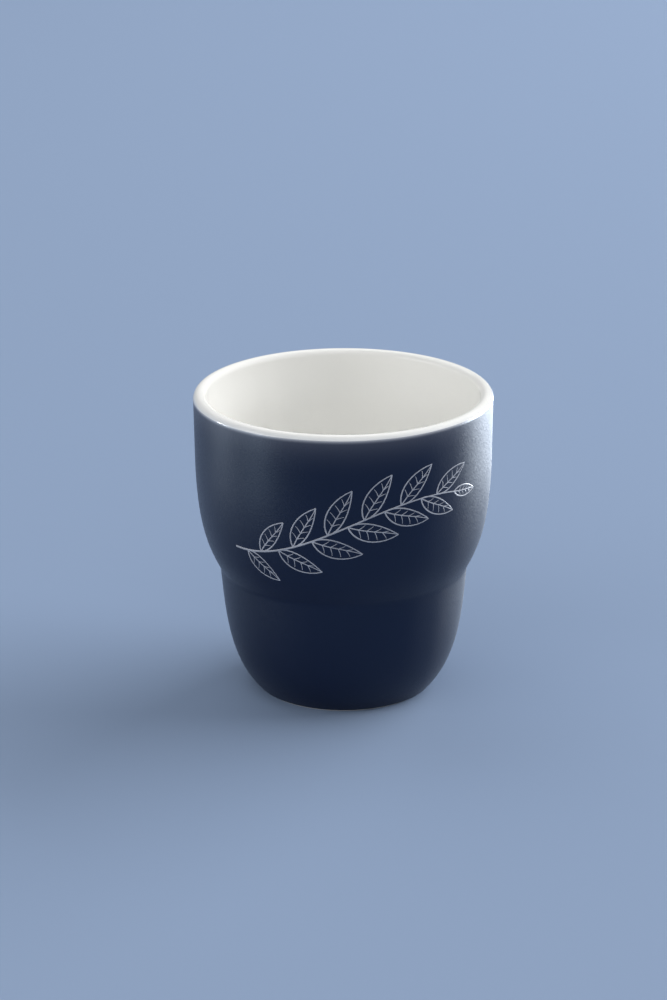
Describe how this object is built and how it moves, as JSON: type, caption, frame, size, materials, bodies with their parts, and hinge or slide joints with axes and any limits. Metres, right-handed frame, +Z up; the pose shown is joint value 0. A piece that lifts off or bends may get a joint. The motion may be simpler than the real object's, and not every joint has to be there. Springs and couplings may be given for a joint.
{
  "type": "espresso cup",
  "caption": "Small espresso cup without a handle: a two-tier turned porcelain body, white glaze inside and over the lip, satin navy glaze outside, bare foot ring.",
  "frame": {"origin": "centre of the foot ring, on the surface the cup stands on", "axes": "+Z up along the cup's axis, towards the rim; -Y is the front, the side that the picture shows; +X is to the picture's right"},
  "size_m": [0.06, 0.06, 0.0623],
  "materials": {
    "bare_porcelain": "bare, fine-grained, matt",
    "satin_navy_glaze": "satin, with a very fine grain",
    "gloss_white_glaze": "glossy"
  },
  "bodies": {
    "root": {"porcelain_body": "bare_porcelain", "navy_outside_glaze": "satin_navy_glaze", "white_inside_glaze": "gloss_white_glaze", "white_base_glaze": "gloss_white_glaze"}
  },
  "joints": []
}
